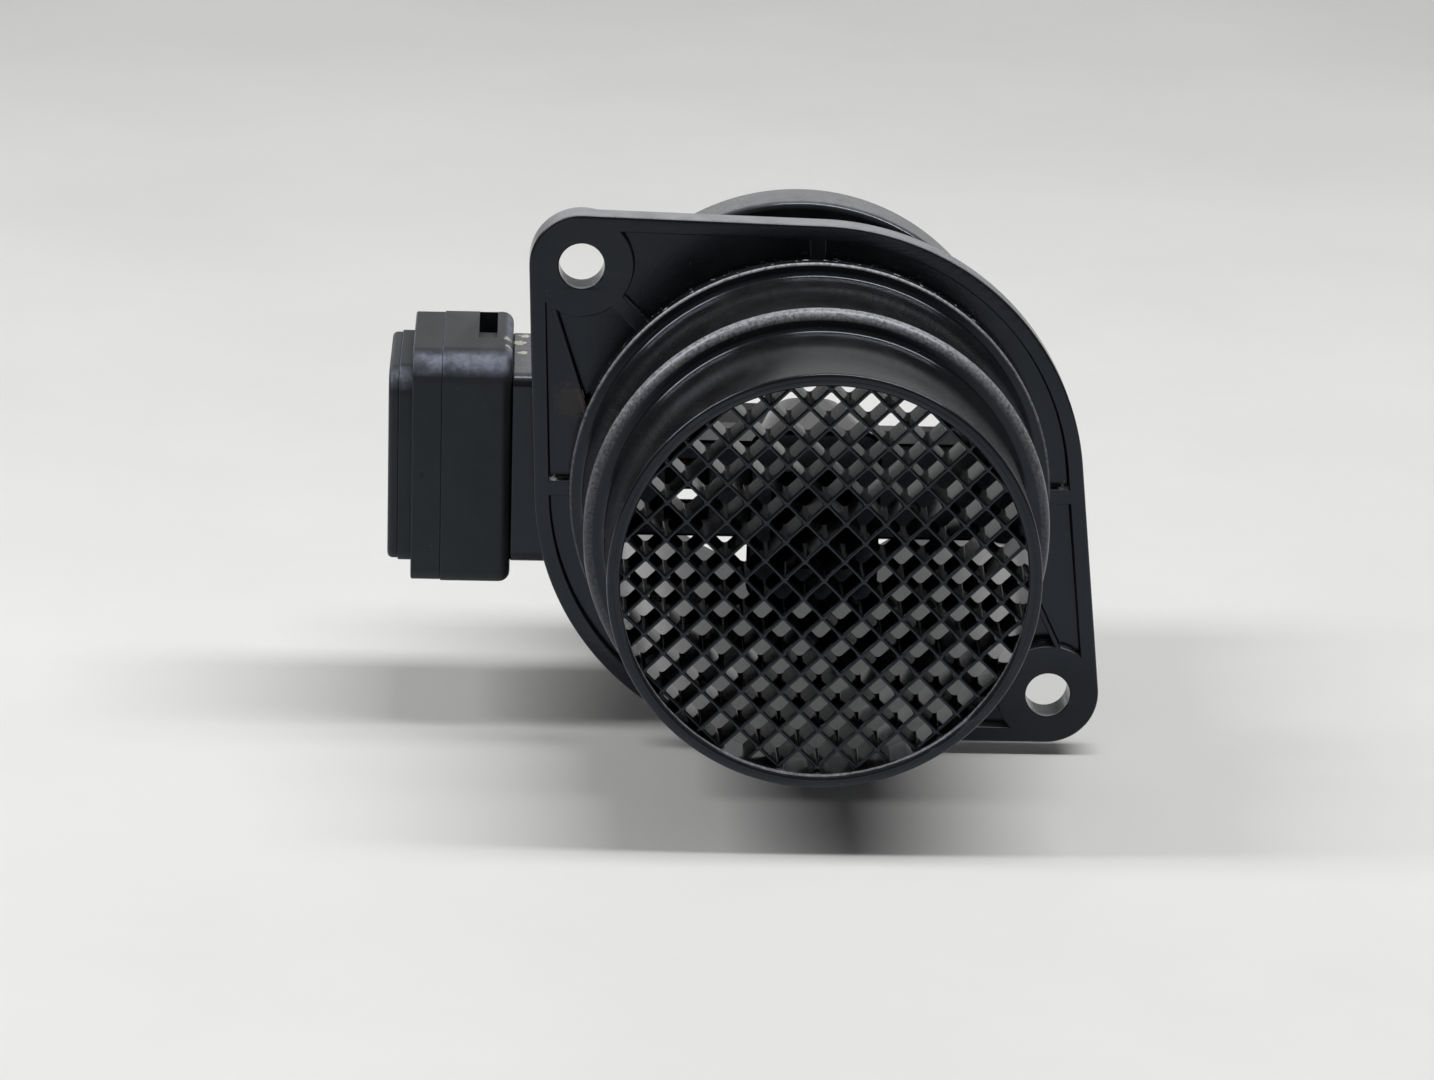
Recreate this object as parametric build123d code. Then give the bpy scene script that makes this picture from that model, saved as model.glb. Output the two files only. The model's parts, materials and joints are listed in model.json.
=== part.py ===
from build123d import *
import math
import os

# Hot-film mass airflow sensor: a moulded duct with a bolted flange, a square-mesh flow grid in its inlet,
# a central nozzle on two struts, and a plug-in sensor module whose probe lies behind the nozzle.
# Millimetres. X right as seen from the inlet, Y along the air flow, Z up. The origin lies on the duct's
# axis, in the plane of the flange's mounting face, which looks towards the inlet.

# ---- duct ----
BORE_R = 30.0             # air passage
INLET_WALL = 2.0          # plain spigot at the inlet
INLET_LENGTH = 45.0       # mounting face to inlet rim
SEAT_STEP = 3.4           # seal seat stands proud of the spigot and fills the air box's collar
SEAT_START = 22.4         # mounting face to the front shoulder of the seat
SEAT_EDGE = 1.2           # rounding of the seat's front edge
SEAT_WALL = 2.0
HUB_STEP = 1.9            # raised ring round the seat, at the flange
HUB_PROUD = 2.0           # ring stands in front of the mounting face
TUBE_WALL = 2.2           # inner tube behind the seat, and the outlet tube
SHOULDER_WALL = 2.2       # closes the front of the seat
CORNER_R = 0.5            # fillets in the stepped corners
OUTLET_LENGTH = 55.0      # mounting face to outlet rim
BEAD_LENGTH = 10.0        # hose bead at the outlet rim
BEAD_STEP = 3.0           # bead stands proud of the tube
BEAD_EDGE = 1.3

# ---- flange ----
FLANGE_T = 4.3
GROOVE_W = 3.0            # pockets between the raised ring and the border
BORDER = 2.4              # flat border round the cored pockets
POCKET_DEPTH = 2.0
EAR_POCKET_DEPTH = 3.4    # between each thin rib and its ear
RIB_W = 2.4               # ribs on the flange's centre lines and towards the ears
THIN_RIB_W = 0.8
HOLE_D = 7.0              # clearance for an M6 screw
HOLE_STANDOFF = 7.95      # hole centres lie this far outside the round plate
HOLE_ANGLES = (135.4, -40.1)
EAR_R = 8.0
EAR_BACK_PROUD = 1.0      # ears are thicker than the plate, at the back
THIN_RIB_ANGLES = (163.6, -19.5)   # where each thin rib roots in the raised ring
THIN_RIB_EAR_ANGLES = (231.0, 77.5)   # and in the ear's boss, about its hole
GUSSET_T = 1.8            # webs between the outlet tube and the back of the ears
GUSSET_LENGTH = 13.0
GUSSET_SPREAD = 12.0      # degrees from the ear's centre line to a web
EDGE = 0.4                # edge break of mouldings

# ---- flow grid ----
GRID_PITCH = 4.13
GRID_BAR = 0.6
GRID_DEPTH = 6.3
GRID_RECESS = 1.6         # bars start behind the rim
GRID_ANGLE = 45.0
RING_WALL = 0.95          # rim that carries the bars
FIT = 0.05                # clearance of pressed and plugged pieces, each side

# ---- neck that receives the module ----
NECK_LENGTH = 14.1        # tube to the module's seat
NECK_DEPTH = 26.6         # along Y
NECK_HEIGHT = 30.8        # along Z
NECK_CORNER = 3.0
NECK_WALL = 2.0
MODULE_Y = 22.4           # centre of the module, behind the mounting face
PLUG_DEPTH = 21.6         # plug of the module in the neck, along Y
PLUG_HEIGHT = 12.0
PLUG_CORNER = 2.5
PLUG_LENGTH = 9.0
SEAL_BACK = 2.6           # seat to the seal's groove
SEAL_W = 1.8
SEAL_GROOVE = 1.3

# ---- module housing ----
BODY_DEPTH = 27.8         # along Y
BODY_HEIGHT = 37.4        # along Z
BODY_WIDTH = 10.95        # along X
BODY_CORNER = 5.0
BODY_EDGE = 1.7
SOCKET_WIDTH = 7.6        # connector socket, along X
SOCKET_HEIGHT = 27.0
SOCKET_DEPTH = 13.0
SOCKET_CORNER = 2.0
SOCKET_FROM_SEAT = 1.6    # wall between the seat and the socket
LATCH_W = 2.9             # latch slot in the top of the socket
LATCH_FROM_SEAT = 2.55
LATCH_LENGTH = 17.4
LATCH_WINDOW = 7.2
LATCH_DEPTH = 1.2
PIN_COUNT = 6
PIN_PITCH = 4.0
PIN_T = 0.8
PIN_W = 1.5
PIN_REACH = 8.0           # blade length in the socket
PIN_BEND = 2.6            # socket floor to the pin's upright
PIN_TAIL = 0.8            # end of the pin behind the board

# ---- chamber frame and cover ----
FRAME_WIDTH = 4.65
FRAME_STEP = 0.15         # the frame is this much smaller than the body
COLLAR_WIDTH = 2.1
COLLAR_INSET = 3.0        # top and bottom, below the frame's outline
COLLAR_INSET_Y = 1.2      # front and back
FRAME_WALL = 2.2
COVER_T = 1.6
COVER_INSET = 0.25
COVER_EDGE = 0.8

# ---- probe ----
PROBE_REACH = 10.0        # tip of the probe beyond the axis
PROBE_DEPTH = 20.0        # along Y
PROBE_HEIGHT = 10.0
PROBE_NOSE = 3.0          # rounding of the upstream and tip edges
PROBE_COVER_T = 1.6
CHANNEL_W = 9.0           # measuring channel, along X, centred on the axis
CHANNEL_H = 3.8
CHANNEL_THROAT = 5.6      # width beside the hot film
THERMISTOR_X = -19.0
THERMISTOR_WINDOW = 7.0
THERMISTOR_NOTCH = 4.5
BEAD_D = 2.2
LEAD_D = 0.5

# ---- measuring nozzle ----
STRUT_DEPTH = 10.6        # along Y
STRUT_HEIGHT = 15.6
NOZZLE_LEAD = 14.0        # the nozzle stands this far ahead of its struts
NOZZLE_GAP = 0.8          # struts to the probe
NOZZLE_MOUTH = (20.4, 27.6)
NOZZLE_REAR = (14.0, 24.0)
MOUTH_CORNER = 3.0
REAR_CORNER = 5.0
MOUTH_EDGE = 0.8
PASSAGE_MOUTH = (12.4, 15.6)
PASSAGE_CORNER = 1.5

# ---- electronics ----
HEATSINK_T = 1.0
PIN_CLEARANCE = 0.6       # heat sink to the pins
BOARD_T = 1.2
BOARD_GAP = 0.2           # board edge to the chamber wall
STRIP_COUNT = 4
STRIP_T = 0.3
STRIP_W = 0.8
STRIP_PITCH = 1.6
FILM_T = 0.4
FILM_HEIGHT = 3.0
FILM_LENGTH = 5.0
FILM_GAP = 2.6            # between the hot film and the reference film
CHIP_MARGIN = 0.9         # chip to the chamber's front wall, and to the pins
CHIP_T = 1.4
REGULATOR_SIZE = (4.0, 3.0)
CAPACITOR_SIZE = (2.0, 1.2)
CAPACITOR_T = 1.0
CAPACITOR_COUNT = 4
CAPACITOR_PITCH = 3.2

# ---- derived planes and radii ----
INLET_OUTER_R = BORE_R + INLET_WALL
SEAT_R = INLET_OUTER_R + SEAT_STEP
HUB_R = SEAT_R + HUB_STEP
FLANGE_R = HUB_R + GROOVE_W + BORDER
HOLE_PITCH_R = FLANGE_R + HOLE_STANDOFF
TUBE_R = BORE_R + TUBE_WALL
BEAD_R = TUBE_R + BEAD_STEP
RING_R = BORE_R + RING_WALL
POCKET_R = RING_R + FIT
RING_DEPTH = GRID_RECESS + GRID_DEPTH
INLET_Y = -INLET_LENGTH
SEAT_X = -(TUBE_R + NECK_LENGTH)
BODY_FACE_X = SEAT_X - BODY_WIDTH
FRAME_X = BODY_FACE_X - FRAME_WIDTH
COLLAR_X = FRAME_X - COLLAR_WIDTH
MODULE_FRONT = MODULE_Y - BODY_DEPTH / 2
MODULE_BACK = MODULE_Y + BODY_DEPTH / 2
PROBE_FRONT = MODULE_Y - PROBE_DEPTH / 2
PROBE_BACK = MODULE_Y + PROBE_DEPTH / 2
PROBE_TOP = PROBE_HEIGHT / 2
TRAY_TOP = PROBE_TOP - PROBE_COVER_T
CHANNEL_FLOOR = TRAY_TOP - CHANNEL_H
SOCKET_FLOOR = MODULE_BACK - SOCKET_DEPTH
SOCKET_X = SEAT_X - SOCKET_FROM_SEAT - SOCKET_WIDTH / 2
PIN_Y = SOCKET_FLOOR - PIN_BEND
HEATSINK_X = BODY_FACE_X - HEATSINK_T
BOARD_X = HEATSINK_X - BOARD_T
CHAMBER_DEPTH = BODY_DEPTH - 2 * COLLAR_INSET_Y - 2 * FRAME_WALL
CHAMBER_HEIGHT = BODY_HEIGHT - 2 * COLLAR_INSET - 2 * FRAME_WALL
CHAMBER_CORNER = BODY_CORNER - FRAME_WALL
FILM_Y = PROBE_FRONT + PROBE_DEPTH / 4
STRUT_BACK = PROBE_FRONT - NOZZLE_GAP
STRUT_FRONT = STRUT_BACK - STRUT_DEPTH
NOZZLE_FRONT = STRUT_FRONT - NOZZLE_LEAD


def across(y):
    """Plane square to the duct's axis; local x is X, local y is Z, and an extrusion runs towards -Y."""
    return Plane(origin=(0, y, 0), x_dir=(1, 0, 0), z_dir=(0, -1, 0))


def facing(x):
    """Plane square to X at x; local x is Y, local y is Z, and an extrusion runs towards +X."""
    return Plane(origin=(x, 0, 0), x_dir=(0, 1, 0), z_dir=(1, 0, 0))


def polar(radius, angle):
    return (radius * math.cos(math.radians(angle)), radius * math.sin(math.radians(angle)))


def slab(sketch, front, back):
    """Sketch in X and Z, extruded from the plane y = front to y = back."""
    return extrude(across(front) * sketch, amount=front - back)


def block(sketch, x_low, x_high):
    """Sketch in Y and Z, extruded from x_low to x_high."""
    return extrude(facing(x_low) * sketch, amount=x_high - x_low)


def turned(*points):
    """Solid of revolution about the duct's axis from (radius, y) points."""
    return revolve(make_face(Polyline(*points, close=True)), axis=Axis.Y)


def box_between(x, y, z):
    """Box from three (low, high) ranges."""
    size = [high - low for low, high in (x, y, z)]
    middle = [(high + low) / 2 for low, high in (x, y, z)]
    return Pos(*middle) * Box(*size)


def hole_centre(index):
    return polar(HOLE_PITCH_R, HOLE_ANGLES[index])


# ---- duct ----
def duct_body():
    """Stepped spigot, flange core and outlet tube in one turning, cored behind the seat."""
    outer = turned(
        (0, INLET_Y), (INLET_OUTER_R, INLET_Y), (INLET_OUTER_R, -SEAT_START), (SEAT_R, -SEAT_START),
        (SEAT_R, -HUB_PROUD), (HUB_R, -HUB_PROUD), (HUB_R, FLANGE_T), (TUBE_R, FLANGE_T),
        (TUBE_R, OUTLET_LENGTH - BEAD_LENGTH), (BEAD_R, OUTLET_LENGTH - BEAD_LENGTH),
        (BEAD_R, OUTLET_LENGTH), (0, OUTLET_LENGTH),
    )
    rims = outer.edges().filter_by(GeomType.CIRCLE)

    def ring_edge(radius, y):
        return rims.filter_by(lambda e: abs(e.radius - radius) < EDGE / 4 and abs(e.center().Y - y) < EDGE / 4)

    outer = fillet(ring_edge(SEAT_R, -SEAT_START), SEAT_EDGE)
    rims = outer.edges().filter_by(GeomType.CIRCLE)
    outer = fillet(ring_edge(BEAD_R, OUTLET_LENGTH - BEAD_LENGTH) + ring_edge(BEAD_R, OUTLET_LENGTH), BEAD_EDGE)
    rims = outer.edges().filter_by(GeomType.CIRCLE)
    corners = ring_edge(INLET_OUTER_R, -SEAT_START) + ring_edge(SEAT_R, -HUB_PROUD)
    outer = fillet(corners + ring_edge(HUB_R, -HUB_PROUD), CORNER_R)
    rims = outer.edges().filter_by(GeomType.CIRCLE)
    return fillet(ring_edge(INLET_OUTER_R, INLET_Y), EDGE)


def seat_core():
    """Annular coring between the inner tube and the seat's skirt, open behind the flange."""
    front = -SEAT_START + SHOULDER_WALL
    return turned(
        (TUBE_R, front), (SEAT_R - SEAT_WALL, front), (SEAT_R - SEAT_WALL, FLANGE_T + FIT),
        (TUBE_R, FLANGE_T + FIT),
    )


def bore():
    return turned((0, INLET_Y), (BORE_R, INLET_Y), (BORE_R, OUTLET_LENGTH), (0, OUTLET_LENGTH))


def grid_pocket():
    """Counterbore in the inlet that takes the grid's rim."""
    return turned((0, INLET_Y), (POCKET_R, INLET_Y), (POCKET_R, INLET_Y + RING_DEPTH), (0, INLET_Y + RING_DEPTH))


def flange_outline(inset):
    """Round plate with two ears; the lower ear has a level underside. Inset moves every side inwards."""
    plate = Circle(FLANGE_R - inset)
    ears = []
    for index in range(len(HOLE_ANGLES)):
        ear = Pos(*hole_centre(index)) * Circle(EAR_R - inset)
        ears.append(make_hull(plate.edges() + ear.edges()))
    low_side = hole_centre(1)[1] - EAR_R + inset
    span = 4 * FLANGE_R
    above = Pos(0, low_side + span / 2) * Rectangle(span, span)
    return plate + ears[0] + (ears[1] & above)


def flange_ribs():
    """Ribs left standing between the pockets of the mounting face."""
    reach = 2 * FLANGE_R
    ribs = Rectangle(reach, RIB_W) + Rectangle(RIB_W, reach)
    for index, angle in enumerate(HOLE_ANGLES):
        ribs += Pos(*hole_centre(index)) * Circle(EAR_R)
        ribs += Rot(0, 0, angle) * Pos(HOLE_PITCH_R / 2, 0) * Rectangle(HOLE_PITCH_R, RIB_W)
        start = Vector(*polar(HUB_R - THIN_RIB_W, THIN_RIB_ANGLES[index]))
        end = Vector(*hole_centre(index)) + Vector(*polar(EAR_R - THIN_RIB_W, THIN_RIB_EAR_ANGLES[index]))
        middle = (start + end) / 2
        along = math.degrees(math.atan2(end.Y - start.Y, end.X - start.X))
        ribs += Pos(middle.X, middle.Y) * Rot(0, 0, along) * Rectangle((end - start).length, THIN_RIB_W)
    return ribs


def ear_pocket(pockets, index):
    """The pocket between an ear's thin rib and the wide one beside it."""
    between = (THIN_RIB_ANGLES[index] + HOLE_ANGLES[index]) / 2
    inside = Vector(*polar(HUB_R + THIN_RIB_W, between))
    return pockets.faces().sort_by_distance(inside)[0]


def flange():
    """Plate with cored pockets in its mounting face, and screw holes."""
    plate = slab(flange_outline(0), 0, FLANGE_T)
    plate = fillet(plate.faces().sort_by(Axis.Y)[0].edges(), EDGE)
    pockets = flange_outline(BORDER) - Circle(HUB_R) - flange_ribs()
    plate -= slab(pockets, 0, POCKET_DEPTH)
    for index in range(len(HOLE_ANGLES)):
        plate -= slab(ear_pocket(pockets, index), 0, EAR_POCKET_DEPTH)
        ear = Pos(*hole_centre(index))
        plate += slab(ear * Circle(EAR_R), FLANGE_T - FIT, FLANGE_T + EAR_BACK_PROUD)
        plate -= slab(ear * Circle(HOLE_D / 2), -FIT, FLANGE_T + EAR_BACK_PROUD + FIT)
    return plate


def gussets():
    """Triangular webs from the outlet tube to the back of the flange, two behind each ear."""
    reach = FLANGE_R - BORDER
    root = BORE_R + TUBE_WALL / 2
    side = make_face(Polyline(
        (root, FLANGE_T - FIT), (reach, FLANGE_T - FIT), (reach, FLANGE_T + EAR_BACK_PROUD),
        (TUBE_R, FLANGE_T + GUSSET_LENGTH), (root, FLANGE_T + GUSSET_LENGTH), close=True))
    web = extrude(side, amount=GUSSET_T / 2, both=True)
    webs = []
    for angle in HOLE_ANGLES:
        webs += [Rot(0, -angle - turn, 0) * web for turn in (-GUSSET_SPREAD, GUSSET_SPREAD)]
    return webs


def neck():
    """Rectangular tower on the outlet tube that the module plugs into, cored above and below the slot."""
    outline = Pos(MODULE_Y, 0) * RectangleRounded(NECK_DEPTH, NECK_HEIGHT, NECK_CORNER)
    tower = block(outline, SEAT_X, 0)
    core_low = PLUG_HEIGHT / 2 + NECK_WALL
    core_high = NECK_HEIGHT / 2 - NECK_WALL
    core_x = -math.sqrt((TUBE_R + NECK_WALL) ** 2 - core_low ** 2)
    depth = (MODULE_Y - NECK_DEPTH / 2 + NECK_WALL, MODULE_Y + NECK_DEPTH / 2 - NECK_WALL)
    for side in (-1, 1):
        height = sorted((side * core_low, side * core_high))
        tower -= box_between((SEAT_X, core_x), depth, height)
    return tower


def neck_slot():
    opening = RectangleRounded(PLUG_DEPTH + 2 * FIT, PLUG_HEIGHT + 2 * FIT, PLUG_CORNER + FIT)
    return block(Pos(MODULE_Y, 0) * opening, SEAT_X, 0)


def duct_housing():
    housing = duct_body() + flange()
    housing = housing + neck() + gussets()
    housing -= bore()
    housing -= grid_pocket()
    housing -= seat_core()
    return housing - neck_slot()


# ---- flow grid ----
def grid_bars():
    """Crossed bars on the diagonals, with a crossing on the axis."""
    count = math.ceil(BORE_R / GRID_PITCH)
    bars = [Pos(0, k * GRID_PITCH) * Rectangle(2.5 * BORE_R, GRID_BAR) for k in range(-count, count + 1)]
    mesh = Sketch() + [Rot(0, 0, GRID_ANGLE) * bar for bar in bars]
    return mesh + Rot(0, 0, 90) * mesh


def inlet_grid():
    rim = slab(Circle(RING_R) - Circle(BORE_R), INLET_Y, INLET_Y + RING_DEPTH)
    cells = Circle(BORE_R) - grid_bars()
    web = slab(Circle(RING_R) - cells, INLET_Y + GRID_RECESS, INLET_Y + RING_DEPTH)
    return rim + web


# ---- measuring nozzle ----
def rounded_section(size, corner, y, height=0.0):
    """Rounded rectangle square to the duct's axis, its centre raised by height."""
    return across(y) * (Pos(0, height) * RectangleRounded(*size, corner))


def measuring_nozzle():
    """Nozzle that leads air into the probe's channel, on two struts that end at the duct's wall."""
    body = loft([rounded_section(NOZZLE_MOUTH, MOUTH_CORNER, NOZZLE_FRONT),
                 rounded_section(NOZZLE_REAR, REAR_CORNER, STRUT_BACK)], ruled=True)
    body = fillet(body.faces().sort_by(Axis.Y)[0].edges(), MOUTH_EDGE)
    span = Rectangle(2 * BORE_R, STRUT_HEIGHT) & Circle(BORE_R - FIT)
    window = Pos(THERMISTOR_X, 0) * Rectangle(THERMISTOR_WINDOW, PROBE_HEIGHT)
    struts = slab(span - window, STRUT_FRONT, STRUT_BACK)
    channel_middle = CHANNEL_FLOOR + CHANNEL_H / 2
    passage = loft([rounded_section(PASSAGE_MOUTH, PASSAGE_CORNER, NOZZLE_FRONT - FIT),
                    rounded_section((CHANNEL_W, CHANNEL_H), EDGE, STRUT_BACK + FIT, channel_middle)], ruled=True)
    return body + struts - passage


# ---- sensor module ----
def body_outline(inset_y, inset_z, corner):
    return Pos(MODULE_Y, 0) * RectangleRounded(BODY_DEPTH - 2 * inset_y, BODY_HEIGHT - 2 * inset_z, corner)


def plug():
    """Plug that fills the neck's slot, with a groove for the seal."""
    outline = Pos(MODULE_Y, 0) * RectangleRounded(PLUG_DEPTH, PLUG_HEIGHT, PLUG_CORNER)
    groove = outline - seal_inner()
    start = SEAT_X + SEAL_BACK
    return block(outline, SEAT_X, SEAT_X + PLUG_LENGTH) - block(groove, start, start + SEAL_W)


def seal_inner():
    depth = PLUG_DEPTH - 2 * SEAL_GROOVE
    height = PLUG_HEIGHT - 2 * SEAL_GROOVE
    return Pos(MODULE_Y, 0) * RectangleRounded(depth, height, PLUG_CORNER - SEAL_GROOVE)


def probe_blade():
    """Solid blade from the plug to the tip, seen from above, with rounded nose and tip."""
    outline = Pos(MODULE_Y, 0) * Rectangle(PROBE_DEPTH, PROBE_HEIGHT)
    blade = block(outline, SEAT_X + PLUG_LENGTH - FIT, PROBE_REACH)
    tip = blade.edges().filter_by(Axis.Z).group_by(Axis.X)[-1]
    return fillet(tip, PROBE_NOSE)


def measuring_channel():
    """Passage along the flow, narrowed beside the hot film."""
    half, throat = CHANNEL_W / 2, CHANNEL_THROAT / 2
    left = [(-half, PROBE_FRONT - FIT), (-half, PROBE_FRONT + FIT), (-throat, FILM_Y - FILM_LENGTH / 2),
            (-throat, FILM_Y + FILM_LENGTH), (-half, PROBE_BACK - FIT), (-half, PROBE_BACK + FIT)]
    right = [(-x, y) for x, y in reversed(left)]
    plan = make_face(Polyline(*left, *right, close=True))
    return extrude(Pos(0, 0, CHANNEL_FLOOR) * plan, amount=CHANNEL_H)


def thermistor_notch():
    """Notch in the upstream edge where the intake-air thermistor hangs."""
    half = THERMISTOR_WINDOW / 2
    return box_between((THERMISTOR_X - half, THERMISTOR_X + half),
                       (PROBE_FRONT - FIT, PROBE_FRONT + THERMISTOR_NOTCH), (-PROBE_TOP - FIT, PROBE_TOP + FIT))


def cover_zone():
    """Space above the tray that the probe's cover fills."""
    return box_between((SEAT_X + PLUG_LENGTH, PROBE_REACH + FIT), (PROBE_FRONT - FIT, PROBE_BACK + FIT),
                       (TRAY_TOP, PROBE_TOP + FIT))


def latch_slot():
    """Slot in the top of the body: a window into the socket, then a shallow run-in."""
    x = (SEAT_X - LATCH_FROM_SEAT - LATCH_W, SEAT_X - LATCH_FROM_SEAT)
    top = BODY_HEIGHT / 2
    window = box_between(x, (MODULE_BACK - LATCH_WINDOW, MODULE_BACK + FIT), (0, top + FIT))
    run_in = box_between(x, (MODULE_BACK - LATCH_LENGTH, MODULE_BACK), (top - LATCH_DEPTH, top + FIT))
    return [window, run_in]


def socket():
    outline = Pos(SOCKET_X, 0) * RectangleRounded(SOCKET_WIDTH, SOCKET_HEIGHT, SOCKET_CORNER)
    return slab(outline, SOCKET_FLOOR, MODULE_BACK + FIT)


def pin_heights():
    return [(k - (PIN_COUNT - 1) / 2) * PIN_PITCH for k in range(PIN_COUNT)]


def terminal_pin(z):
    """Bent pin: a blade in the socket and an upright through the board."""
    side = (z - PIN_W / 2, z + PIN_W / 2)
    blade = box_between((SOCKET_X - PIN_T / 2, SOCKET_X + PIN_T / 2), (PIN_Y, SOCKET_FLOOR + PIN_REACH), side)
    upright = box_between((BOARD_X - PIN_TAIL, SOCKET_X + PIN_T / 2), (PIN_Y, PIN_Y + PIN_T), side)
    pin = blade + upright
    return chamfer(pin.faces().sort_by(Axis.Y)[-1].edges(), PIN_T / 4)


def strip_heights():
    return (TRAY_TOP - STRIP_T, TRAY_TOP)


def lead_strips():
    """Flat conductors from the films to the board, moulded into the probe."""
    strips = []
    for k in range(STRIP_COUNT):
        y = FILM_Y + (k - (STRIP_COUNT - 1) / 2) * STRIP_PITCH
        strips.append(box_between((BOARD_X + BOARD_T, -CHANNEL_W / 2), (y - STRIP_W / 2, y + STRIP_W / 2),
                                  strip_heights()))
    return strips


def module_housing(pins, strips):
    """Body with the connector socket, the plug, and the probe's tray in one moulding."""
    body = block(body_outline(0, 0, BODY_CORNER), BODY_FACE_X, SEAT_X)
    body = fillet(body.faces().sort_by(Axis.X)[-1].edges(), BODY_EDGE)
    body -= socket()
    body -= latch_slot()
    tray = probe_blade() - cover_zone()
    tray -= measuring_channel()
    tray -= thermistor_notch()
    return body + plug() + tray - pins - strips


def probe_cover():
    """Plate that closes the measuring channel."""
    plate = probe_blade() & cover_zone()
    return plate - thermistor_notch()


def module_seal():
    """Moulded seal ring in the plug's groove."""
    outer = Pos(MODULE_Y, 0) * RectangleRounded(PLUG_DEPTH, PLUG_HEIGHT, PLUG_CORNER)
    start = SEAT_X + SEAL_BACK + FIT
    return block(outer - seal_inner(), start, start + SEAL_W - 2 * FIT)


def chamber():
    return Pos(MODULE_Y, 0) * RectangleRounded(CHAMBER_DEPTH, CHAMBER_HEIGHT, CHAMBER_CORNER)


def chamber_frame():
    """Frame round the electronics, stepped down to a collar that carries the cover."""
    wide = block(body_outline(FRAME_STEP, FRAME_STEP, BODY_CORNER - FRAME_STEP), FRAME_X, BODY_FACE_X)
    collar = block(body_outline(COLLAR_INSET_Y, COLLAR_INSET, BODY_CORNER - EDGE), COLLAR_X, FRAME_X)
    return wide + collar - block(chamber(), COLLAR_X, BODY_FACE_X)


def chamber_cover():
    """Outer cover with an eased rim and a locating pad that drops into the frame."""
    inset_y = COLLAR_INSET_Y + COVER_INSET
    inset_z = COLLAR_INSET + COVER_INSET
    plate = block(body_outline(inset_y, inset_z, BODY_CORNER - EDGE - COVER_INSET), COLLAR_X - COVER_T, COLLAR_X)
    return fillet(plate.faces().sort_by(Axis.X)[0].edges(), COVER_EDGE)


# ---- electronics ----
def heat_sink():
    """Aluminium plate between the body and the board, beside the conductors and pins."""
    front = MODULE_Y - CHAMBER_DEPTH / 2 + BOARD_GAP
    low = -CHAMBER_HEIGHT / 2 + CHAMBER_CORNER
    high = TRAY_TOP - STRIP_T - BOARD_GAP
    return box_between((HEATSINK_X, BODY_FACE_X), (front, PIN_Y - PIN_CLEARANCE), (low, high))


def circuit_board(pins):
    outline = RectangleRounded(CHAMBER_DEPTH - 2 * BOARD_GAP, CHAMBER_HEIGHT - 2 * BOARD_GAP, CHAMBER_CORNER)
    return block(Pos(MODULE_Y, 0) * outline, BOARD_X, HEATSINK_X) - pins


def board_part(y, z, size_y, size_z, height):
    return box_between((BOARD_X - height, BOARD_X), (y - size_y / 2, y + size_y / 2),
                       (z - size_z / 2, z + size_z / 2))


def film(x):
    """Glass chip that stands in the measuring channel, parallel to the flow."""
    return box_between((x - FILM_T / 2, x + FILM_T / 2), (FILM_Y - FILM_LENGTH / 2, FILM_Y + FILM_LENGTH / 2),
                       (CHANNEL_FLOOR, CHANNEL_FLOOR + FILM_HEIGHT))


def intake_thermistor():
    """Glass bead on two leads that span the notch."""
    y = PROBE_FRONT + THERMISTOR_NOTCH / 2
    bead = Pos(THERMISTOR_X, y, 0) * Sphere(BEAD_D / 2)
    lead = Pos(THERMISTOR_X, y, 0) * Rot(0, 90, 0) * Cylinder(LEAD_D / 2, THERMISTOR_WINDOW)
    return bead + lead


def build():
    pins = [terminal_pin(z) for z in pin_heights()]
    strips = lead_strips()
    nodes = {
        "duct_housing": duct_housing(),
        "inlet_grid": inlet_grid(),
        "measuring_nozzle": measuring_nozzle(),
        "module_housing": module_housing(pins, strips),
        "module_seal": module_seal(),
        "probe_cover": probe_cover(),
        "chamber_frame": chamber_frame(),
        "chamber_cover": chamber_cover(),
        "heat_sink": heat_sink(),
        "circuit_board": circuit_board(pins),
        "hot_film": film(FILM_GAP / 2),
        "reference_film": film(-FILM_GAP / 2),
        "intake_thermistor": intake_thermistor(),
        "lead_strips": Compound(children=strips),
    }
    for number, pin in enumerate(pins, 1):
        nodes[f"terminal_pin_{number}"] = pin
    chamber_front = MODULE_Y - CHAMBER_DEPTH / 2
    chip_y = (chamber_front + PIN_Y) / 2
    chip_size = PIN_Y - chamber_front - 2 * CHIP_MARGIN
    nodes["signal_chip"] = board_part(chip_y, -chip_size / 2, chip_size, chip_size, CHIP_T)
    nodes["voltage_regulator"] = board_part(chip_y, chip_size, *REGULATOR_SIZE, CHIP_T)
    for k in range(CAPACITOR_COUNT):
        z = (k - (CAPACITOR_COUNT - 1) / 2) * CAPACITOR_PITCH
        nodes[f"capacitor_{k + 1}"] = board_part(MODULE_Y + CHAMBER_DEPTH / 4, z, *CAPACITOR_SIZE, CAPACITOR_T)
    return nodes


os.makedirs("parts", exist_ok=True)
for name, shape in build().items():
    export_step(shape, f"parts/{name}.step")
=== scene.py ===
import bpy
import bmesh
import json
import math
from mathutils import Matrix, Vector
from mathutils.geometry import tessellate_polygon


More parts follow.
